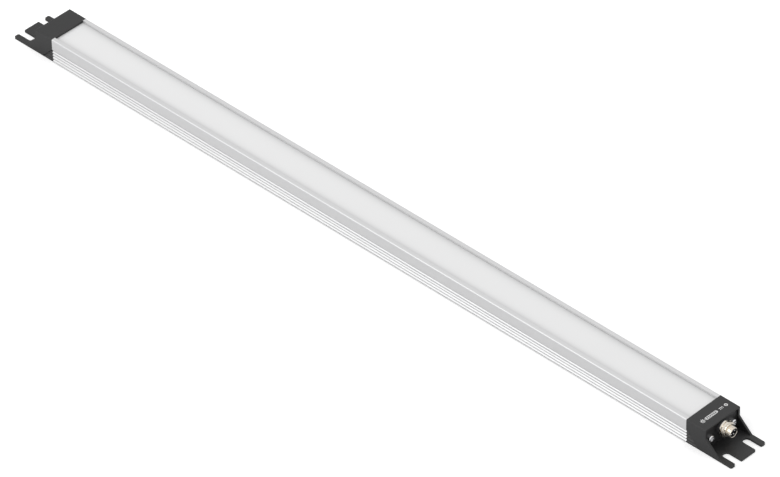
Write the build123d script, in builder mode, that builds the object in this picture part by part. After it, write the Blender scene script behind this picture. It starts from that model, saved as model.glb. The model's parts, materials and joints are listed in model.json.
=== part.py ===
"""LED light bar: an extruded body with an opal cover, two end caps with slotted feet, and an M8 inlet.

Millimetres. X runs along the bar towards the inlet end, Y across it, Z up.
The origin is on the resting surface, under the middle of the bar.
"""
import os
from math import cos, radians, sin

from build123d import *

os.makedirs("parts", exist_ok=True)

# ---------------------------------------------------------------- driving dimensions
# whole bar
body_w = 35.0            # width of extrusion and caps
body_h = 20.0            # height of extrusion and caps
profile_l = 620.0        # extrusion length, between the caps' inner faces

# extrusion
side_wall_t = 3.5
floor_t = 4.0
edge_r = 0.8             # rounding of the long top edges
base_step_h = 0.4        # shadow gap along the foot of each side
base_step_w = 0.45
lip_w = 3.4              # visible rail beside the cover
lip_t = 1.7
slot_wall_t = 1.6        # wall left outside the cover's slot
rib_count = 4
rib_pitch = 2.62
rib_foot_h = 0.55        # plain foot under the ribs
rib_relief = 0.3         # rib crests behind the plain side
rib_depth = 0.75
rib_ramp_h = 0.8         # height of the rising flank of a groove
rib_floor_h = 0.35
rib_roof_h = 0.7         # height of the flank under a crest
groove_w = 3.0           # shallow grooves in the underside
groove_d = 0.6
groove_y = 9.5

# cap screws and the ports they are driven into
screw_d = 3.0
screw_inset_y = 6.1      # screw axis in from the side
screw_z = 9.0
port_wall_t = 1.1
thread_gap = 0.02
screw_bite = 12.0        # thread length inside the extrusion
screw_head_d = 5.6
screw_head_h = 2.0
screw_head_r = 0.9
screw_drive_d = 2.7
screw_drive_lobe_d = 0.9
screw_drive_depth = 1.4
screw_clear = 0.2        # radial clearance of the screw in the cap

# opal cover, a flat sheet slid in under the rails, and its seals
cover_t = 1.5
cover_gap = 0.15         # between the sheet and the rails over it
seal_w = 0.7

# LED boards
board_count = 3
board_t = 1.6
board_gap = 2.0
board_end_gap = 8.0      # between the last board and a cap
board_side_gap = 0.3
board_corner_r = 0.8
tape_t = 0.3
tape_margin = 0.5
leds_per_board = 20
led_l = 3.5
led_w = 2.8
led_h = 0.8
leds_per_string = 5
string_part_y = 5.6      # rows of small parts beside the LEDs
regulator_l = 4.5
regulator_w = 2.5
regulator_h = 1.5
resistor_l = 3.2
resistor_w = 1.6
resistor_h = 0.6
link_l = 7.0
link_w = 1.2
link_h = 0.3
link_y = 3.8
guard_l = 4.3
guard_w = 2.6
guard_h = 2.2
guard_gap = 1.2          # between the lead pads and the protection parts, and between those

# end caps
deck_l = 17.5            # flat top of a cap, along the bar
face_recess = 1.3        # cap's face behind the edges of its deck and side walls
hood_t = 1.0             # deck's edge, over the recess
foot_l = 41.0            # whole length of a cap, along the bar
foot_t = 1.8
cap_face_t = 2.5
cap_side_t = 3.0
cap_floor_t = 2.2
cap_roof_t = 1.8
cap_edge_r = 0.5
gusset_t = 1.6
gusset_h = 12.4          # height where a gusset starts to slope down
gusset_l = 11.5          # length of a gusset beyond the deck
slot_w = 6.0             # open slots for M5 screws
slot_spacing = 20.3
slot_seat_x = 30.5       # centre of a slot's round end, from the cap's inner face
foot_corner_r = 1.2      # ends of the foot's outer fingers
tongue_corner_r = 0.5    # corners between the slots
boss_wall_t = 1.5
gasket_t = 0.8
gasket_inset_side = 2.0
gasket_inset_top = 0.9

# M8 inlet
inlet_drop = 6.9         # inlet axis below the deck
inlet_d = 8.0            # M8 thread, outside
inlet_bore_d = 6.5
inlet_reach = 11.2       # shell beyond the cap's face
inlet_hex_af = 11.2
inlet_hex_t = 3.4
inlet_groove_d = 9.4      # groove turned round the hexagon
inlet_groove_w = 0.5
inlet_groove_x = 1.4      # groove in from the hexagon's rear face
inlet_collar_d = 10.2
inlet_collar_t = 1.2
inlet_tip_chamfer = 0.5
inlet_stem_l = 7.0
inlet_clear = 0.1
inlet_seal_d = 11.2      # sealing washer between the cap's face and the hexagon
inlet_seal_t = 2.7
inlet_seal_r = 0.35
lock_nut_af = 10.0
lock_nut_t = 2.0
insert_rear = 8.0        # insert behind the cap's face
insert_floor = 4.0       # insert's floor beyond the cap's face
insert_wall_t = 0.45     # insert's rim, which lines the bore
insert_short = 0.3       # insert's rim behind the shell's
insert_gap = 0.02
key_w = 0.9
key_h = 0.45
key_l = 4.0
pin_d = 1.0
pin_circle_d = 3.8
pin_turn = 27.0          # first pin, in degrees from +Y towards +Z
pin_short = 0.6          # pin tips behind the shell's rim
pin_tail = 1.5           # pin behind the insert
pin_tip_r = 0.35
wire_d = 1.2
wire_pad_inset = 3.2     # solder pad in from the board's end
wire_pad_y = 5.4
wire_turn_r = 6.0
wire_drop_r = 2.4

# ---------------------------------------------------------------- derived places
half_w = body_w / 2
half_l = profile_l / 2
deck_x = half_l + deck_l
face_x = deck_x - face_recess
rib_face_y = half_w - rib_relief
rib_top_z = rib_foot_h + rib_count * rib_pitch

cover_slot_h = cover_t + cover_gap
slot_top_z = body_h - lip_t
slot_floor_z = slot_top_z - cover_slot_h
slot_outer_y = half_w - slot_wall_t
lip_inner_y = half_w - lip_w
wall_inner_y = half_w - side_wall_t
cover_y = slot_outer_y - seal_w

screw_y = half_w - screw_inset_y
screw_r = screw_d / 2
port_hole_r = screw_r + thread_gap
port_r = port_hole_r + port_wall_t
boss_hole_r = screw_r + screw_clear
boss_r = boss_hole_r + boss_wall_t

board_l = (profile_l - 2 * board_end_gap - (board_count - 1) * board_gap) / board_count
board_w = 2 * (screw_y - port_r - board_side_gap)
board_z = floor_t + tape_t
board_top_z = board_z + board_t
board_step = board_l + board_gap
board_centres = [(i - (board_count - 1) / 2) * board_step for i in range(board_count)]
board_end_x = board_centres[-1] + board_l / 2
led_pitch = board_step / leds_per_board
string_count = leds_per_board // leds_per_string
string_pitch = board_step / string_count

pocket_y = half_w - cap_side_t
pocket_top_z = body_h - cap_roof_t
pocket_l = face_x - half_l - cap_face_t
inlet_z = body_h - inlet_drop
inlet_r = inlet_d / 2
shell_tip_x = face_x + inlet_reach
insert_r = inlet_bore_d / 2 - insert_gap
hex_x = face_x + inlet_seal_t
pin_r = pin_circle_d / 2


def save(piece, name):
    """Label a finished piece and write it to its own file."""
    piece.label = name
    export_step(piece, f"parts/{name}.step")


def rib_outline(face_y):
    """Side outline of the ribbed zone, from the foot's top up to the plain side, for a side at +Y."""
    crest_y = face_y - rib_relief
    root_y = crest_y - rib_depth
    points = [(face_y, rib_foot_h)]
    for i in range(rib_count):
        z = rib_foot_h + i * rib_pitch
        points.append((crest_y, z))
        points.append((root_y, z + rib_ramp_h))
        points.append((root_y, z + rib_ramp_h + rib_floor_h))
        points.append((crest_y, z + rib_ramp_h + rib_floor_h + rib_roof_h))
    points.append((crest_y, rib_top_z))
    points.append((face_y, rib_top_z))
    return points


def yz_plane(x):
    """Section plane across the bar at x: sketch X is the bar's Y, sketch Y is its Z."""
    return Plane(origin=(x, 0, 0), x_dir=(0, 1, 0), z_dir=(1, 0, 0))


# ---------------------------------------------------------------- extruded body
half_section = [(0, 0), (half_w - base_step_w, 0), (half_w - base_step_w, base_step_h), (half_w, base_step_h)]
half_section += rib_outline(half_w)
half_section += [
    (half_w, body_h),
    (lip_inner_y, body_h),
    (lip_inner_y, slot_top_z),
    (slot_outer_y, slot_top_z),
    (slot_outer_y, slot_floor_z),
    (wall_inner_y, slot_floor_z),
    (wall_inner_y, floor_t),
    (0, floor_t),
]

with BuildPart() as housing_profile:
    with BuildSketch(yz_plane(-half_l)):
        with BuildLine():
            Polyline(half_section, close=True)
        make_face()
        with Locations((wall_inner_y, screw_z)):
            Rectangle(2 * (wall_inner_y - screw_y), 2 * port_r)
        with Locations((screw_y, screw_z)):
            Circle(port_r)
        with Locations((screw_y, screw_z)):
            Circle(port_hole_r, mode=Mode.SUBTRACT)
        with Locations((groove_y, 0)):
            Rectangle(groove_w, 2 * groove_d, mode=Mode.SUBTRACT)
        mirror(about=Plane.YZ)
    extrude(amount=profile_l)
    top_edges = housing_profile.edges().filter_by(Axis.X).group_by(Axis.Z)[-1].sort_by(Axis.Y)
    fillet([top_edges[0], top_edges[-1]], edge_r)
save(housing_profile.part, "housing_profile")

# ---------------------------------------------------------------- opal cover and its seals
with BuildPart() as light_cover:
    with BuildSketch(yz_plane(-half_l)):
        with Locations((0, slot_floor_z + cover_t / 2)):
            Rectangle(2 * cover_y, cover_t)
    extrude(amount=profile_l)
save(light_cover.part, "light_cover")

for seal_side, seal_name in ((-1, "cover_seal_front"), (1, "cover_seal_rear")):
    with BuildPart() as cover_seal:
        with BuildSketch(yz_plane(-half_l)):
            with Locations((seal_side * (slot_outer_y - seal_w / 2), slot_floor_z + cover_slot_h / 2)):
                Rectangle(seal_w, cover_slot_h)
        extrude(amount=profile_l)
    save(cover_seal.part, seal_name)

# ---------------------------------------------------------------- LED boards on their tape
with BuildPart() as thermal_tape:
    with BuildSketch(Plane.XY.offset(floor_t)):
        Rectangle(2 * board_end_x - 2 * tape_margin, board_w - 2 * tape_margin)
    extrude(amount=tape_t)
save(thermal_tape.part, "thermal_tape")

for number, board_x in enumerate(board_centres, start=1):
    with BuildPart() as led_board:
        with BuildSketch(Plane.XY.offset(board_z)):
            with Locations((board_x, 0)):
                RectangleRounded(board_l, board_w, board_corner_r)
        extrude(amount=board_t)
    save(led_board.part, f"led_board_{number}")

    with BuildPart() as led_packages:
        with BuildSketch(Plane.XY.offset(board_top_z)):
            with Locations((board_x, 0)):
                with GridLocations(led_pitch, 0, leds_per_board, 1):
                    Rectangle(led_l, led_w)
        extrude(amount=led_h)
    save(led_packages.part, f"led_packages_{number}")

with BuildPart() as current_regulators:
    with BuildSketch(Plane.XY.offset(board_top_z)):
        with Locations((0, -string_part_y)):
            with GridLocations(string_pitch, 0, board_count * string_count, 1):
                Rectangle(regulator_l, regulator_w)
    extrude(amount=regulator_h)
save(current_regulators.part, "current_regulators")

with BuildPart() as string_resistors:
    with BuildSketch(Plane.XY.offset(board_top_z)):
        with Locations((0, string_part_y)):
            with GridLocations(string_pitch, 0, board_count * string_count, 1):
                Rectangle(resistor_l, resistor_w)
    extrude(amount=resistor_h)
save(string_resistors.part, "string_resistors")

with BuildPart() as board_links:
    with BuildSketch(Plane.XY.offset(board_top_z)):
        with GridLocations(board_step, 2 * link_y, board_count - 1, 2):
            Rectangle(link_l, link_w)
    extrude(amount=link_h)
save(board_links.part, "board_links")

guard_inset = wire_pad_inset + wire_d / 2 + guard_gap + guard_l / 2
guards = (
    ("surge_suppressor", guard_inset, -string_part_y),
    ("polarity_diode", guard_inset, string_part_y),
    ("input_capacitor", guard_inset + guard_l + guard_gap, string_part_y),
)
for guard_name, inset, guard_y in guards:
    with BuildPart() as guard:
        with BuildSketch(Plane.XY.offset(board_top_z)):
            with Locations((board_end_x - inset, guard_y)):
                Rectangle(guard_l, guard_w)
        extrude(amount=guard_h)
    save(guard.part, guard_name)


# ---------------------------------------------------------------- end caps
def rib_runout():
    """Cutter for one cap's +Y side: the body's ribs carried on, ending along a 45 degree line."""
    outline = rib_outline(half_w)
    margin = rib_relief
    with BuildPart() as cutter:
        with BuildSketch(yz_plane(half_l)):
            with BuildLine():
                Polyline([*outline, (half_w + margin, rib_top_z), (half_w + margin, rib_foot_h)], close=True)
            make_face()
        extrude(amount=rib_top_z)
        with BuildSketch(Plane.XZ.offset(-half_w - margin)):
            with BuildLine():
                Polyline((half_l, 0), (half_l + rib_top_z, 0), (half_l, rib_top_z), close=True)
            make_face()
        extrude(amount=2 * half_w, mode=Mode.INTERSECT)
    return cutter.part


def end_cap(with_inlet):
    """One moulded cap at the +X end: deck, face, hollow, screw bosses, gussets and a slotted foot."""
    with BuildPart() as cap:
        with BuildSketch(Plane.XZ.offset(-half_w)):
            with BuildLine():
                Polyline(
                    (half_l, 0),
                    (deck_x, 0),
                    (deck_x, body_h),
                    (half_l, body_h),
                    close=True,
                )
            make_face()
        extrude(amount=body_w)
        top = cap.edges().group_by(Axis.Z)[-1]
        fillet(top.filter_by(Axis.X) + top.filter_by(Axis.Y).sort_by(Axis.X)[-1:], cap_edge_r)

        # face set back between the deck's edge and the side walls
        with BuildSketch(yz_plane(face_x)):
            with Locations((0, (foot_t + body_h - hood_t) / 2)):
                Rectangle(body_w - 2 * gusset_t, body_h - hood_t - foot_t)
        extrude(amount=face_recess, mode=Mode.SUBTRACT)

        # hollow, then the two screw bosses back into it
        with BuildSketch(yz_plane(half_l)):
            with Locations((0, (cap_floor_t + pocket_top_z) / 2)):
                Rectangle(2 * pocket_y, pocket_top_z - cap_floor_t)
        extrude(amount=pocket_l, mode=Mode.SUBTRACT)
        with BuildSketch(yz_plane(half_l)):
            for side in (-1, 1):
                with Locations((side * screw_y, screw_z)):
                    Circle(boss_r)
                with Locations((side * (screw_y + pocket_y) / 2, screw_z)):
                    Rectangle(pocket_y - screw_y, 2 * boss_r)
        extrude(amount=pocket_l)

        # seat for the gasket
        with BuildSketch(yz_plane(half_l)):
            with Locations((0, body_h / 2)):
                Rectangle(2 * (half_w - gasket_inset_side), body_h - 2 * gasket_inset_top)
        extrude(amount=gasket_t, mode=Mode.SUBTRACT)

        # slotted foot
        with BuildSketch(Plane.XY) as foot:
            with Locations((half_l + (pocket_l + foot_l) / 2, 0)):
                Rectangle(foot_l - pocket_l, body_w)
            for side in (-1, 1):
                with Locations((half_l + slot_seat_x, side * slot_spacing / 2)):
                    Circle(slot_w / 2, mode=Mode.SUBTRACT)
                with Locations((half_l + (slot_seat_x + foot_l) / 2, side * slot_spacing / 2)):
                    Rectangle(foot_l - slot_seat_x, slot_w, mode=Mode.SUBTRACT)
            corners = foot.vertices().group_by(Axis.X)[-1].sort_by(Axis.Y)
            fillet(corners[:2] + corners[-2:], foot_corner_r)
            tongue = foot.vertices().group_by(Axis.X)[-1].filter_by_position(
                Axis.Y, -slot_spacing / 2, slot_spacing / 2
            )
            fillet(tongue, tongue_corner_r)
        extrude(amount=foot_t)

        # a gusset along each side
        for y0 in (-half_w, half_w - gusset_t):
            with BuildSketch(Plane.XZ.offset(-y0 - gusset_t)):
                with BuildLine():
                    Polyline(
                        (face_x - cap_face_t, foot_t / 2),
                        (face_x - cap_face_t, gusset_h),
                        (deck_x, gusset_h),
                        (deck_x + gusset_l, foot_t),
                        (deck_x + gusset_l, foot_t / 2),
                        close=True,
                    )
                make_face()
            extrude(amount=gusset_t)

        # screw holes through the face and bosses
        with BuildSketch(yz_plane(half_l)):
            with Locations((-screw_y, screw_z), (screw_y, screw_z)):
                Circle(boss_hole_r)
        extrude(amount=face_x - half_l, mode=Mode.SUBTRACT)

        if with_inlet:
            with BuildSketch(yz_plane(half_l + pocket_l)):
                with Locations((0, inlet_z)):
                    Circle(inlet_r + inlet_clear)
            extrude(amount=cap_face_t, mode=Mode.SUBTRACT)

        runout = rib_runout()
        add(runout, mode=Mode.SUBTRACT)
        add(mirror(runout, about=Plane.XZ), mode=Mode.SUBTRACT)
    return cap.part


save(end_cap(with_inlet=True), "right_end_cap")
save(mirror(end_cap(with_inlet=False), about=Plane.YZ), "left_end_cap")

with BuildPart() as cap_gasket:
    with BuildSketch(yz_plane(half_l)):
        with Locations((0, body_h / 2)):
            Rectangle(2 * (half_w - gasket_inset_side), body_h - 2 * gasket_inset_top)
        with Locations((0, (cap_floor_t + pocket_top_z) / 2)):
            Rectangle(2 * pocket_y, pocket_top_z - cap_floor_t, mode=Mode.SUBTRACT)
    extrude(amount=gasket_t)
save(cap_gasket.part, "right_cap_gasket")
save(mirror(cap_gasket.part, about=Plane.YZ), "left_cap_gasket")

with BuildPart() as cap_screws:
    with BuildSketch(yz_plane(half_l - screw_bite)):
        with Locations((-screw_y, screw_z), (screw_y, screw_z)):
            Circle(screw_r)
    extrude(amount=screw_bite + face_x - half_l)
    with BuildSketch(yz_plane(face_x)):
        with Locations((-screw_y, screw_z), (screw_y, screw_z)):
            Circle(screw_head_d / 2)
    extrude(amount=screw_head_h)
    fillet(cap_screws.edges().filter_by(GeomType.CIRCLE).group_by(Axis.X)[-1], screw_head_r)
    with BuildSketch(yz_plane(face_x + screw_head_h)):
        with Locations((-screw_y, screw_z), (screw_y, screw_z)):
            Circle(screw_drive_d / 2)
            with PolarLocations(screw_drive_d / 2, 6):
                Circle(screw_drive_lobe_d / 2)
    extrude(amount=-screw_drive_depth, mode=Mode.SUBTRACT)
save(cap_screws.part, "right_cap_screws")
save(mirror(cap_screws.part, about=Plane.YZ), "left_cap_screws")

# ---------------------------------------------------------------- M8 inlet
with BuildPart() as inlet_shell:
    with BuildSketch(yz_plane(hex_x)):
        with Locations((0, inlet_z)):
            RegularPolygon(inlet_hex_af / 2, 6, major_radius=False, rotation=30)
    extrude(amount=inlet_hex_t)
    chamfer(inlet_shell.edges().group_by(Axis.X)[-1], inlet_tip_chamfer)
    with BuildSketch(yz_plane(hex_x + inlet_groove_x)):
        with Locations((0, inlet_z)):
            Circle(inlet_hex_af)
            Circle(inlet_groove_d / 2, mode=Mode.SUBTRACT)
    extrude(amount=inlet_groove_w, mode=Mode.SUBTRACT)
    with BuildSketch(yz_plane(hex_x + inlet_hex_t)):
        with Locations((0, inlet_z)):
            Circle(inlet_collar_d / 2)
    extrude(amount=inlet_collar_t)
    with BuildSketch(yz_plane(face_x - inlet_stem_l)):
        with Locations((0, inlet_z)):
            Circle(inlet_r)
    extrude(amount=inlet_stem_l + inlet_reach)
    chamfer(inlet_shell.edges().group_by(Axis.X)[-1], inlet_tip_chamfer)
    with BuildSketch(yz_plane(face_x - inlet_stem_l)):
        with Locations((0, inlet_z)):
            Circle(inlet_bore_d / 2)
    extrude(amount=inlet_stem_l + inlet_reach, mode=Mode.SUBTRACT)
save(inlet_shell.part, "inlet_shell")

with BuildPart() as inlet_seal:
    with BuildSketch(yz_plane(face_x)):
        with Locations((0, inlet_z)):
            Circle(inlet_seal_d / 2)
            Circle(inlet_r + inlet_clear, mode=Mode.SUBTRACT)
    extrude(amount=inlet_seal_t)
    fillet(inlet_seal.edges().filter_by(GeomType.CIRCLE).sort_by(SortBy.RADIUS)[-2:], inlet_seal_r)
save(inlet_seal.part, "inlet_seal")

with BuildPart() as inlet_lock_nut:
    with BuildSketch(yz_plane(half_l + pocket_l)):
        with Locations((0, inlet_z)):
            RegularPolygon(lock_nut_af / 2, 6, major_radius=False)
            Circle(inlet_r + thread_gap, mode=Mode.SUBTRACT)
    extrude(amount=-lock_nut_t)
save(inlet_lock_nut.part, "inlet_lock_nut")

with BuildPart() as contact_insert:
    with BuildSketch(yz_plane(face_x - insert_rear)):
        with Locations((0, inlet_z)):
            Circle(insert_r)
    extrude(amount=insert_rear + inlet_reach - insert_short)
    with BuildSketch(yz_plane(face_x + insert_floor)):
        with Locations((0, inlet_z)):
            Circle(insert_r - insert_wall_t)
    extrude(amount=inlet_reach - insert_short - insert_floor, mode=Mode.SUBTRACT)
    with BuildSketch(yz_plane(face_x + insert_floor)):
        with Locations((0, inlet_z - insert_r + insert_wall_t)):
            Rectangle(key_w, 2 * key_h)
        with Locations((0, inlet_z)):
            Circle(insert_r - insert_wall_t / 2, mode=Mode.INTERSECT)
    extrude(amount=key_l)
    with BuildSketch(yz_plane(face_x - insert_rear)):
        with Locations((0, inlet_z)):
            with PolarLocations(pin_r, 4, start_angle=pin_turn):
                Circle(pin_d / 2)
    extrude(amount=insert_rear + insert_floor, mode=Mode.SUBTRACT)
save(contact_insert.part, "contact_insert")

with BuildPart() as contact_pins:
    with BuildSketch(yz_plane(face_x - insert_rear - pin_tail)):
        with Locations((0, inlet_z)):
            with PolarLocations(pin_r, 4, start_angle=pin_turn):
                Circle(pin_d / 2)
    extrude(amount=insert_rear + pin_tail + inlet_reach - pin_short)
    fillet(contact_pins.edges().filter_by(GeomType.CIRCLE).group_by(Axis.X)[-1], pin_tip_r)
save(contact_pins.part, "contact_pins")

# ---------------------------------------------------------------- leads from the inlet to the last board
wire_start_x = face_x - insert_rear - pin_tail
wire_pad_x = board_end_x - wire_pad_inset
leads = (
    ("supply_lead_negative", -1, radians(pin_turn - 180)),
    ("supply_lead_positive", 1, radians(pin_turn - 90)),
)

for lead_name, lead_side, pin_angle in leads:
    pin_y = pin_r * cos(pin_angle)
    pin_z = inlet_z + pin_r * sin(pin_angle)
    with BuildPart() as supply_lead:
        with BuildLine() as route:
            FilletPolyline(
                (wire_start_x, pin_y, pin_z),
                (half_l, pin_y, pin_z),
                (wire_pad_x, lead_side * wire_pad_y, pin_z),
                (wire_pad_x, lead_side * wire_pad_y, board_top_z),
                radius=[wire_turn_r, wire_drop_r],
            )
        with BuildSketch(yz_plane(wire_start_x)):
            with Locations((pin_y, pin_z)):
                Circle(wire_d / 2)
        sweep(path=route.wires()[0])
    save(supply_lead.part, lead_name)
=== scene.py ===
"""The looks of the LED light bar: finishes for every CAD piece, a threaded inlet shell and the deck's print.

Metres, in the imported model's own frame: X along the bar towards the inlet, Y across it, Z up.
"""
import json
from math import cos, pi, radians, sin, sqrt

import bpy
import numpy as np
from mathutils import Matrix, Vector


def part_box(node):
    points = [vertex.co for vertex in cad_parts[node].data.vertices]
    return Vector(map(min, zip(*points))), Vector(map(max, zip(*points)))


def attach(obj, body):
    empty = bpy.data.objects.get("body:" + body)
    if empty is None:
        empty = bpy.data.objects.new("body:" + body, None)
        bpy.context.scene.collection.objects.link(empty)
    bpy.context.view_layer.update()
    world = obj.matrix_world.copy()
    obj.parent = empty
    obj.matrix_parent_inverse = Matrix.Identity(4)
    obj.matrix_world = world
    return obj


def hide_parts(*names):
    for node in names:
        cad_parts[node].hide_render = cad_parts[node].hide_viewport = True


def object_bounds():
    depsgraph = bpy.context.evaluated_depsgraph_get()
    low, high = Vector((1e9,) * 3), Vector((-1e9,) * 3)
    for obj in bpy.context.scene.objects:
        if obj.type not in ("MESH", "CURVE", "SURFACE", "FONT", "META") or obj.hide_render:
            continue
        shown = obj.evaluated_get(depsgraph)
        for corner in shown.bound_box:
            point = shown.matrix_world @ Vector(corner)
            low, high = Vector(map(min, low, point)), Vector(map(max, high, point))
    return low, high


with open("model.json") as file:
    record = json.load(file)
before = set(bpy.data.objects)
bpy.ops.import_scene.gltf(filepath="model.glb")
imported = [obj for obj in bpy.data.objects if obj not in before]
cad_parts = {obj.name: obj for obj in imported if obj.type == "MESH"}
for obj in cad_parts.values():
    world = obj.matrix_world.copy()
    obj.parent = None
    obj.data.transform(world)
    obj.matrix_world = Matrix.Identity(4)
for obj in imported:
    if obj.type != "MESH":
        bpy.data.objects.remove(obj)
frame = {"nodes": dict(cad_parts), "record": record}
cad_low, cad_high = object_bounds()

MM = 0.001

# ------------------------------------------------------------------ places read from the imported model
bar_low, bar_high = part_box("housing_profile")
deck_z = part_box("right_end_cap")[1].z
rail_y = bar_high.y - 3.4 * MM               # inner edge of a rail, where the cover comes into view
rib_top_z = bar_low.z + 11.0 * MM            # lower edge of the plain side
shell_low, shell_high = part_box("inlet_shell")
insert_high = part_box("contact_insert")[1]
seal_low, seal_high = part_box("inlet_seal")
mounts = {mount["name"]: mount for mount in frame["record"]["mounts"]}

face_x = seal_low.x                          # outer face of the right cap
deck_x = face_x + 1.3 * MM                   # outer edge of its deck
inlet_z = (shell_low.z + shell_high.z) / 2
thread_r = mounts["inlet_thread"]["dims"]["r_mm"] * MM


# ------------------------------------------------------------------ node maths
class Value:
    """A socket of a material's tree. Arithmetic on it adds Math nodes; numbers alone stay Python's."""

    def __init__(self, finish, socket):
        self.finish = finish
        self.socket = socket

    def _math(self, operation, first, second=None, clamp=False):
        inputs = {0: first} if second is None else {0: first, 1: second}
        return self.finish.node("ShaderNodeMath", {"operation": operation, "use_clamp": clamp}, inputs)

    def __add__(self, other):
        return self._math("ADD", self, other)

    __radd__ = __add__

    def __sub__(self, other):
        return self._math("SUBTRACT", self, other)

    def __rsub__(self, other):
        return self._math("SUBTRACT", other, self)

    def __mul__(self, other):
        return self._math("MULTIPLY", self, other)

    __rmul__ = __mul__

    def __truediv__(self, other):
        return self._math("DIVIDE", self, other)

    def __pow__(self, other):
        return self._math("POWER", self, other)

    def __abs__(self):
        return self._math("ABSOLUTE", self)

    def below(self, other):
        """1 where this is less than other, 0 elsewhere."""
        return self._math("LESS_THAN", self, other)

    def lowest(self, other):
        """The smaller of the two."""
        return self._math("MINIMUM", self, other)

    def wrap(self):
        """The fractional part."""
        return self._math("FRACT", self)

    def step(self, low, high):
        """0 up to low, 1 from high, and a smooth rise between them."""
        settings = {"interpolation_type": "SMOOTHSTEP"}
        inputs = {"Value": self, "From Min": low, "From Max": high}
        return self.finish.node("ShaderNodeMapRange", settings, inputs)


class Finish:
    """One material: a Principled shader with constants on its own sockets, and the nodes that feed it."""

    def __init__(self, name, colour, roughness, metallic=0.0, **constants):
        self.material = bpy.data.materials.new(name)
        self.material.use_nodes = True
        self.tree = self.material.node_tree
        self.tree.nodes.clear()
        self.output = self.tree.nodes.new("ShaderNodeOutputMaterial")
        self.shader = self.tree.nodes.new("ShaderNodeBsdfPrincipled")
        self.tree.links.new(self.shader.outputs[0], self.output.inputs["Surface"])
        self.colour = (*colour, 1.0)
        self.set("Base Color", self.colour)
        self.set("Roughness", roughness)
        self.set("Metallic", metallic)
        for socket, value in constants.items():
            self.set(socket.replace("_", " "), value)
        self.material.diffuse_color = self.colour
        self._place = None

    def set(self, socket, value):
        """Puts a number, a colour or a Value on one of the shader's sockets."""
        self._fill(self.shader.inputs[socket], value)

    def _fill(self, socket, value):
        if isinstance(value, Value):
            self.tree.links.new(value.socket, socket)
        else:
            socket.default_value = value

    def node(self, kind, settings=None, inputs=None, output=0):
        """Adds a node: its settings first, then the values or links of its sockets. Returns one output."""
        made = self.tree.nodes.new(kind)
        for key, value in (settings or {}).items():
            setattr(made, key, value)
        for key, value in (inputs or {}).items():
            self._fill(made.inputs[key], value)
        return Value(self, made.outputs[output])

    @property
    def place(self):
        """Object coordinates, which are the row frame's metres on every piece."""
        if self._place is None:
            self._place = self.node("ShaderNodeTexCoord", output="Object")
        return self._place

    def axes(self):
        """The place's three coordinates."""
        split = self.tree.nodes.new("ShaderNodeSeparateXYZ")
        self.tree.links.new(self.place.socket, split.inputs[0])
        return [Value(self, split.outputs[i]) for i in range(3)]

    def stretched(self, scale):
        """The place with each axis multiplied by its own scale."""
        return self.node("ShaderNodeVectorMath", {"operation": "MULTIPLY"}, {0: self.place, 1: scale})

    def noise(self, scale, detail=2.0, roughness=0.5, where=None):
        """Fractal noise from 0 to 1, with so many features per metre."""
        inputs = {"Vector": where or self.place, "Scale": scale, "Detail": detail, "Roughness": roughness}
        return self.node("ShaderNodeTexNoise", None, inputs)

    def mix(self, amount, first, second):
        """The colour between first and second."""
        factor, a, b, result = 0, 6, 7, 2        # a Mix node's sockets for colours
        inputs = {factor: amount, a: first, b: second}
        return self.node("ShaderNodeMix", {"data_type": "RGBA"}, inputs, result)

    def tint(self, amount, low, high):
        """The base colour times a factor that runs from low to high with amount."""
        dark = (*[c * low for c in self.colour[:3]], 1.0)
        light = (*[min(1.0, c * high) for c in self.colour[:3]], 1.0)
        return self.mix(amount, dark, light)

    def bump(self, height, distance):
        """Bump of so many metres, on the shader's normal."""
        inputs = {"Height": height, "Distance": distance}
        self.set("Normal", self.node("ShaderNodeBump", None, inputs))


# ------------------------------------------------------------------ finishes
def anodised_aluminium():
    """Satin natural anodising over die lines: noise drawn out along X gives fine streaks in shade and sheen.

    Below the plain side's lower edge the base colour over the ribs is darkened: painted shade that stands in
    for the shade in their grooves.
    """
    f = Finish("anodised_aluminium", (0.735, 0.735, 0.74), 0.36, metallic=0.6)
    lines = f.noise(1.0, detail=5.0, roughness=0.6, where=f.stretched((3.0, 5200.0, 5200.0)))
    broad = f.noise(1.0, detail=3.0, where=f.stretched((4.0, 260.0, 260.0)))
    grain = f.noise(9000.0, detail=1.0)
    # painted shade: the ribbed zone below the plain side is darker in the base colour, standing in for shade
    # in the grooves
    painted_rib_shade = 1 - f.axes()[2].step(rib_top_z - 0.3 * MM, rib_top_z)
    f.set("Base Color", f.tint(0.66 + lines * 0.22 + broad * 0.12 - painted_rib_shade * 0.43, 0.80, 1.035))
    f.set("Roughness", 0.32 + lines * 0.12 + grain * 0.05)
    f.bump(lines * 0.8 + grain * 0.2, 2.5e-6)
    return f.material


def opal_acrylic():
    """Opal diffuser: even over the middle, with painted shade towards the rails that grows by a high power
    of the distance from the middle line.
    """
    f = Finish("opal_acrylic", (0.81, 0.81, 0.812), 0.34)
    # painted shade: the cover darkens towards the rails, standing in for the shade of the rail walls and the
    # chamber below
    reach = (abs(f.axes()[1]) / rail_y).lowest(1.0)
    cloud = f.noise(38.0, detail=2.0)
    grain = f.noise(5200.0, detail=1.0)
    f.set("Base Color", f.tint(reach ** 4.5 + cloud * 0.04, 1.0, 0.72))
    f.set("Roughness", 0.30 + grain * 0.08)
    f.bump(grain, 1.5e-6)
    return f.material


def moulded_plastic(name, colour, roughness):
    """Moulded plastic, spark-eroded: two sizes of grain raise the surface and break up its gloss."""
    f = Finish(name, colour, roughness)
    coarse = f.noise(2600.0, detail=2.0, roughness=0.55)
    fine = f.noise(8060.0, detail=1.0)
    cloud = f.noise(70.0, detail=2.0)
    f.set("Base Color", f.tint(coarse * 0.5 + cloud * 0.5, 0.86, 1.16))
    f.set("Roughness", roughness - 0.07 + coarse * 0.14)
    f.bump(coarse * 0.7 + fine * 0.3, 9e-6)
    return f.material


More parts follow.
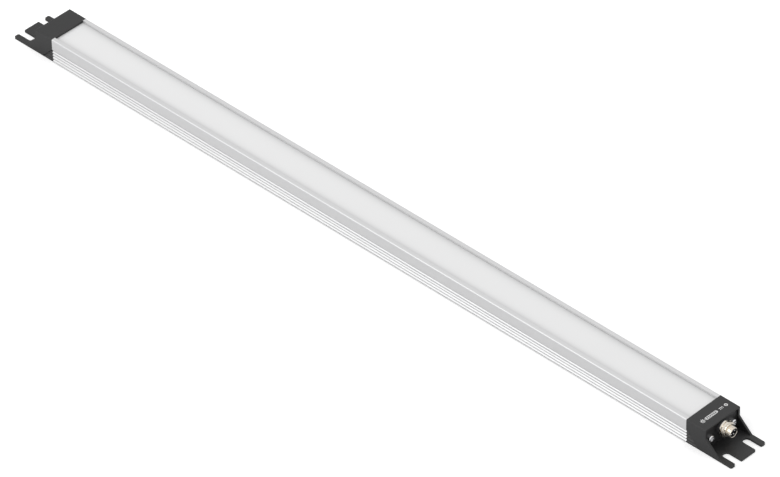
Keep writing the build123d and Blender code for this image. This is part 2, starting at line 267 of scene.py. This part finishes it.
def plated_metal(name, colour, roughness):
    """Plated metal: fine marks as noise, and a faint cloud in the plating."""
    f = Finish(name, colour, roughness, metallic=1.0)
    marks = f.noise(900.0, detail=4.0, roughness=0.65)
    cloud = f.noise(420.0, detail=2.0)
    f.set("Base Color", f.tint(marks * 0.5 + cloud * 0.5, 0.88, 1.08))
    f.set("Roughness", roughness - 0.05 + marks * 0.12)
    f.bump(marks, 2e-6)
    return f.material


def elastomer():
    """Black seal rubber: fine matte grain with a thin bloom."""
    f = Finish("seal_elastomer", (0.028, 0.028, 0.030), 0.72)
    grain = f.noise(4200.0, detail=2.0)
    f.set("Base Color", f.tint(grain, 0.8, 1.35))
    f.set("Roughness", 0.66 + grain * 0.14)
    f.bump(grain, 4e-6)
    return f.material


def solder_mask():
    """White solder mask over copper: tracks along the board stand up as faint ridges in regular lanes."""
    f = Finish("white_solder_mask", (0.86, 0.86, 0.84), 0.42)
    lanes = (f.axes()[1] / (1.4 * MM)).wrap()
    ridge = abs(lanes - 0.5).step(0.26, 0.34)
    cloud = f.noise(160.0, detail=2.0)
    f.set("Base Color", f.tint(ridge * 0.5 + cloud * 0.5, 0.90, 1.04))
    f.set("Roughness", 0.38 + cloud * 0.1)
    f.bump(ridge, 2e-5)
    return f.material


def led_package(board_top, pitch_x):
    """LED package: a white frame with a warm phosphor window in the middle of its top."""
    f = Finish("led_package", (0.90, 0.90, 0.87), 0.4)
    x, y, z = f.axes()
    along = abs((x / pitch_x + 0.5).wrap() - 0.5) * pitch_x
    inside = (1 - along.step(1.2 * MM, 1.3 * MM)) * (1 - abs(y).step(0.85 * MM, 0.95 * MM))
    grain = f.noise(9000.0)
    phosphor = f.mix(grain, (0.80, 0.62, 0.10, 1.0), (0.92, 0.74, 0.16, 1.0))
    f.set("Base Color", f.mix(inside, f.tint(grain, 0.94, 1.02), phosphor))
    f.set("Roughness", 0.34 + grain * 0.14)
    f.bump(grain - inside * 0.5, 2e-5)
    return f.material


def thermal_pad():
    """Grey filled silicone: speckled filler in a soft matte sheet."""
    f = Finish("thermal_pad", (0.46, 0.48, 0.50), 0.6)
    speck = f.noise(6500.0, detail=3.0, roughness=0.7)
    f.set("Base Color", f.tint(speck.step(0.35, 0.65), 0.8, 1.15))
    f.set("Roughness", 0.54 + speck * 0.14)
    f.bump(speck, 1e-5)
    return f.material


def print_ink():
    """White pad-print ink: opaque, faintly uneven at its thin spots."""
    f = Finish("white_ink", (0.86, 0.86, 0.86), 0.48)
    thin = f.noise(3800.0, detail=2.0)
    f.set("Base Color", f.tint(thin, 0.94, 1.05))
    f.set("Roughness", 0.42 + thin * 0.12)
    f.bump(thin, 2e-6)
    return f.material


def paper_floor():
    """Pale studio paper, lit a little from beneath so that it stays white, except under the bar and in a
    strip 1.5 mm wide along its long sides, where the glow is cut to paint a thin contact shadow along the
    bar's foot.
    """
    f = Finish("pale_floor", (0.93, 0.93, 0.93), 0.9, Emission_Strength=0.3)
    x, y, z = f.axes()
    # painted contact shadow: no emission under the bar and 1.5 mm beyond its long sides
    painted_contact_shadow = (1 - abs(y).step(bar_high.y, bar_high.y + 1.5 * MM)) * abs(x).below(bar_high.x)
    f.set("Emission Color", f.mix(painted_contact_shadow, (1.0, 1.0, 1.0, 1.0), (0.0, 0.0, 0.0, 1.0)))
    tooth = f.noise(240.0, detail=3.0)
    f.set("Base Color", f.tint(tooth, 0.985, 1.0))
    return f.material


def bounce_paper():
    """The paper as the bar's own surfaces meet it: plain, and without the light from beneath."""
    f = Finish("bounce_paper", (0.76, 0.76, 0.76), 0.9)
    tooth = f.noise(240.0, detail=3.0)
    f.set("Base Color", f.tint(tooth, 0.97, 1.0))
    return f.material


# ------------------------------------------------------------------ meshes
def new_piece(name, points, faces, material, sharp_deg=None):
    """A piece from arrays of points and faces, riding on the bar. Edges over sharp_deg stay sharp."""
    mesh = bpy.data.meshes.new(name)
    mesh.from_pydata([tuple(p) for p in points.tolist()], [], [tuple(q) for q in faces.tolist()])
    mesh.update()
    mesh.materials.append(material)
    if sharp_deg is not None:
        mesh.polygons.foreach_set("use_smooth", [True] * len(mesh.polygons))
        mesh.set_sharp_from_angle(angle=radians(sharp_deg))
    piece = bpy.data.objects.new(name, mesh)
    bpy.context.scene.collection.objects.link(piece)
    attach(piece, "root")
    return piece


def grid_faces(rows, columns, close_rows=False, close_columns=False):
    """Quads between neighbouring points of a rows by columns grid, closed round either way if asked."""
    r = np.arange(rows if close_rows else rows - 1)
    c = np.arange(columns if close_columns else columns - 1)
    r, c = np.meshgrid(r, c, indexing="ij")
    r2, c2 = (r + 1) % rows, (c + 1) % columns
    quads = np.stack([r * columns + c, r2 * columns + c, r2 * columns + c2, r * columns + c2], axis=-1)
    return quads.reshape(-1, 4)


def inlet_shell():
    """The inlet's shell with its real M8 thread.

    A closed tube: stations run along the outside from the stem to the tip and back down the bore, and
    each station is a circle of angles. Radius is the station's own, held down to the hexagon's wall
    (half its width over the flats / cos of the angle from the nearest flat) on the hexagon, and to a
    cone at every chamfer. On the thread it is the crest radius less a trapezoid wave of
    (distance along the bar / pitch - angle / full turn), which is a helix.
    """
    turns = 120
    thread_rings = 72
    pitch = 1.0 * MM
    thread_depth = 0.56 * MM
    hex_rear_x = seal_high.x
    hex_front_x = hex_rear_x + 3.4 * MM
    groove_x = hex_rear_x + 1.4 * MM
    groove_w = 0.5 * MM
    groove_r = 4.7 * MM
    collar_x = hex_front_x + 1.2 * MM
    collar_r = 5.1 * MM
    collar_edge = 0.25 * MM
    tip_x = shell_high.x
    bore_r = insert_high.z - inlet_z + 0.02 * MM
    rim = 0.2 * MM
    flats_r = (shell_high.y - shell_low.y) / 2
    angle = np.linspace(0, 2 * pi, turns, endpoint=False)
    hexagon = flats_r / np.cos((angle + pi / 6) % (pi / 3) - pi / 6)
    stations = []

    def ring(x, radius):
        stations.append((np.full(turns, x), np.broadcast_to(radius, (turns,))))

    ring(shell_low.x, thread_r)
    ring(hex_rear_x, thread_r)
    hex_face_r = flats_r + 0.25 * MM
    chamfer_l = 0.35 * MM
    slope = sqrt(3)
    for start, end in ((hex_rear_x, groove_x), (groove_x + groove_w, hex_front_x)):
        for along in np.linspace(0, chamfer_l, 6):
            ring(start + along, np.minimum(hexagon, hex_face_r + along * slope))
        for along in np.linspace(chamfer_l, 0, 6):
            ring(end - along, np.minimum(hexagon, hex_face_r + along * slope))
        if end == groove_x:
            ring(end, groove_r)
            ring(end + groove_w, groove_r)
    ring(hex_front_x, collar_r + 0.15 * MM)
    ring(hex_front_x + 0.1 * MM, collar_r)
    ring(collar_x - collar_edge, collar_r)
    ring(collar_x, collar_r - collar_edge)
    root_r = thread_r - thread_depth
    ring(collar_x, root_r)
    thread_from = collar_x + 0.15 * MM
    for x in np.linspace(thread_from, tip_x, thread_rings):
        wave = np.abs(((x / pitch - angle / (2 * pi)) % 1.0) * 2 - 1)
        radius = root_r + thread_depth * np.clip(wave * 1.5 - 0.25, 0, 1)
        radius = np.minimum(radius, root_r + 0.1 * MM + (tip_x - x))
        ring(x, np.minimum(radius, root_r + (x - thread_from) * 1.6))
    ring(tip_x, bore_r + rim)
    ring(tip_x - rim, bore_r)
    ring(shell_low.x, bore_r)

    x = np.array([s[0] for s in stations])
    radius = np.array([s[1] for s in stations])
    points = np.stack([x, radius * np.cos(angle), inlet_z + radius * np.sin(angle)], axis=-1).reshape(-1, 3)
    faces = grid_faces(len(stations), turns, close_rows=True, close_columns=True)
    piece = new_piece("inlet_shell_threaded", points, faces[:, ::-1], nickel, sharp_deg=35)
    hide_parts("inlet_shell")
    return piece


class Print:
    """Flat inked marks in the deck's plane: strips and rings of quads, u along +Y and v towards the bar.

    A stroke is its centre line moved half a line's width to each side; a ring is the same for a circle,
    and a dot is a ring from its centre out.
    """

    def __init__(self, line):
        self.line = line
        self.points = []
        self.faces = []

    def grid(self, grid):
        start = sum(len(p) for p in self.points)
        self.points.append(grid.reshape(-1, 2))
        self.faces.append(grid_faces(*grid.shape[:2]) + start)

    def stroke(self, u0, v0, u1, v1):
        start, end = np.array([u0, v0]), np.array([u1, v1])
        along = (end - start) / np.linalg.norm(end - start)
        side = np.array([-along[1], along[0]]) * self.line / 2
        self.grid(np.array([[start - side, end - side], [start + side, end + side]]))

    def arc(self, u, v, radius, turns=36, inner=None, start=0.0, end=2 * pi):
        angle = np.linspace(start, end, turns + 1)
        inner = radius - self.line / 2 if inner is None else inner
        radii = np.array([[inner], [radius + self.line / 2]])
        self.grid(np.stack([u + radii * np.cos(angle), v + radii * np.sin(angle)], axis=-1)[::-1])

    def dot(self, u, v, radius):
        self.arc(u, v, radius - self.line / 2, turns=16, inner=0.02 * MM)


def deck_print():
    """A row of plain working symbols on the right deck: lamp, light strip, direct current, contact face."""
    ink_line = 0.44 * MM
    lift = 0.03 * MM
    row_x = deck_x - 8.2 * MM
    marks = Print(ink_line)

    lamp_u = -11.2 * MM
    ray_count, ray_from, ray_to = 8, 1.3 * MM, 1.9 * MM
    marks.arc(lamp_u, 0, 0.85 * MM)
    for turn in range(ray_count):
        c, s = cos(turn * 2 * pi / ray_count), sin(turn * 2 * pi / ray_count)
        marks.stroke(lamp_u + ray_from * c, ray_from * s, lamp_u + ray_to * c, ray_to * s)

    strip_from, strip_to, strip_h, dot_count = -7.4 * MM, 2.2 * MM, 1.05 * MM, 7
    for v in (-strip_h, strip_h):
        marks.stroke(strip_from, v, strip_to, v)
    marks.arc(strip_from, 0, strip_h, turns=18, start=pi / 2, end=3 * pi / 2)
    marks.arc(strip_to, 0, strip_h, turns=18, start=-pi / 2, end=pi / 2)
    for u in np.linspace(strip_from, strip_to, dot_count):
        marks.dot(u, 0, 0.5 * MM)

    current_u, current_l, current_v = 7.4 * MM, 3.6 * MM, 0.6 * MM
    dash_l = 0.8 * MM
    dash_step = current_l / 2.8
    marks.stroke(current_u - current_l / 2, current_v, current_u + current_l / 2, current_v)
    for dash in (-1, 0, 1):
        u = current_u + dash * dash_step
        marks.stroke(u - dash_l / 2, -current_v, u + dash_l / 2, -current_v)

    contact_u, contact_r, hole_count, hole_out = 12.2 * MM, 1.1 * MM, 3, 0.5 * MM
    marks.arc(contact_u, 0, contact_r)
    for turn in range(hole_count):
        angle = pi / 2 + turn * 2 * pi / hole_count
        marks.dot(contact_u + hole_out * cos(angle), hole_out * sin(angle), 0.26 * MM)

    flat = np.concatenate(marks.points)
    placed = np.column_stack([row_x - flat[:, 1], flat[:, 0], np.full(len(flat), deck_z + lift)])
    return new_piece("deck_print", placed, np.concatenate(marks.faces), ink)


# ------------------------------------------------------------------ dress the pieces
nickel = plated_metal("nickel_plating", (0.88, 0.82, 0.73), 0.14)
zinc = plated_metal("zinc_plated_steel", (0.94, 0.94, 0.96), 0.20)
ink = print_ink()
charcoal = moulded_plastic("charcoal_cap_plastic", (0.019, 0.019, 0.0195), 0.44)
black = moulded_plastic("black_contact_carrier", (0.018, 0.018, 0.018), 0.45)
chip = moulded_plastic("component_body", (0.030, 0.030, 0.033), 0.5)
ceramic = moulded_plastic("ceramic_body", (0.42, 0.31, 0.17), 0.4)
rubber = elastomer()
board = solder_mask()
board_low, board_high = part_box("led_board_2")
leds_per_board = 20
led_step = (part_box("led_board_3")[0].x - board_low.x) / leds_per_board
led = led_package(board_high.z, led_step)

finish_of = {
    "housing_profile": anodised_aluminium(),
    "light_cover": opal_acrylic(),
    "cover_seal_front": rubber,
    "cover_seal_rear": rubber,
    "left_cap_gasket": rubber,
    "right_cap_gasket": rubber,
    "inlet_seal": rubber,
    "thermal_tape": thermal_pad(),
    "led_board_1": board,
    "led_board_2": board,
    "led_board_3": board,
    "led_packages_1": led,
    "led_packages_2": led,
    "led_packages_3": led,
    "current_regulators": chip,
    "string_resistors": chip,
    "surge_suppressor": chip,
    "polarity_diode": chip,
    "input_capacitor": ceramic,
    "board_links": plated_metal("tinned_copper", (0.72, 0.71, 0.69), 0.35),
    "left_end_cap": charcoal,
    "right_end_cap": charcoal,
    "left_cap_screws": zinc,
    "right_cap_screws": zinc,
    "inlet_shell": nickel,
    "inlet_lock_nut": nickel,
    "contact_insert": black,
    "contact_pins": plated_metal("silver_plating", (0.94, 0.93, 0.92), 0.30),
    "supply_lead_positive": moulded_plastic("brown_insulation", (0.20, 0.09, 0.04), 0.42),
    "supply_lead_negative": moulded_plastic("blue_insulation", (0.03, 0.09, 0.38), 0.42),
}

for name, node in frame["nodes"].items():
    node.data.materials.clear()
    node.data.materials.append(finish_of[name])

inlet_shell()
deck_print()


# ------------------------------------------------------------------ studio
def studio_floor(name, material, drop):
    """A flat pale sheet, so far below the bar's underside and far wider than the view."""
    reach = 6.0
    z = cad_low.z - drop
    mesh = bpy.data.meshes.new(name)
    corners = [(-reach, -reach, z), (reach, -reach, z), (reach, reach, z), (-reach, reach, z)]
    mesh.from_pydata(corners, [], [(0, 1, 2, 3)])
    mesh.materials.append(material)
    floor = bpy.data.objects.new(name, mesh)
    bpy.context.scene.collection.objects.link(floor)
    return floor


def studio_floors():
    """The white floor that the camera sees, and a plain one that gives the bar its reflected light."""
    seen = studio_floor("floor", paper_floor(), 0.05 * MM)
    seen.visible_shadow = False
    seen.visible_diffuse = False
    seen.visible_glossy = False
    bounce = studio_floor("bounce_floor", bounce_paper(), 0.1 * MM)
    bounce.visible_camera = False


def area_light(name, place, aim, size, power):
    """A square soft box at place, turned to face aim."""
    data = bpy.data.lights.new(name, "AREA")
    data.shape = "SQUARE"
    data.size = size
    data.energy = power
    lamp = bpy.data.objects.new(name, data)
    lamp.location = place
    lamp.rotation_euler = (Vector(aim) - Vector(place)).to_track_quat("-Z", "Y").to_euler()
    bpy.context.scene.collection.objects.link(lamp)


def studio_light():
    """A white dome with a large soft box overhead and a weaker one from the front left."""
    world = bpy.data.worlds.new("studio")
    world.use_nodes = True
    background = world.node_tree.nodes["Background"]
    background.inputs["Color"].default_value = (1.0, 1.0, 1.0, 1.0)
    background.inputs["Strength"].default_value = 0.80
    bpy.context.scene.world = world
    area_light("overhead", (0.1, 0.3, 1.6), (0, 0, 0), 1.6, 2.0)
    area_light("front_left", (-1.0, -2.1, 1.7), (0, 0, 0), 2.2, 27.0)


def long_lens_camera():
    """A long lens on the inlet's side of the bar, looking down across it, rolled a little."""
    azimuth, elevation, roll = radians(44.55), radians(39.08), radians(-0.95)
    distance = 4.334
    target = Vector((0.01504, 0.00039, 0.00299))
    back = Vector((sin(azimuth) * cos(elevation), -cos(azimuth) * cos(elevation), sin(elevation)))
    level = Vector((cos(azimuth), sin(azimuth), 0.0))
    up = back.cross(level)
    right = level * cos(roll) + up * sin(roll)
    up = up * cos(roll) - level * sin(roll)
    data = bpy.data.cameras.new("camera")
    data.sensor_width = 36.0
    data.lens = 284.4
    data.clip_start = 0.1
    data.clip_end = 60.0
    camera = bpy.data.objects.new("camera", data)
    turn = Matrix((right, up, back)).transposed().to_4x4()
    camera.matrix_world = Matrix.Translation(target + back * distance) @ turn
    bpy.context.scene.collection.objects.link(camera)
    bpy.context.scene.camera = camera


studio_floors()
studio_light()
long_lens_camera()
bpy.context.scene.view_settings.view_transform = "Standard"
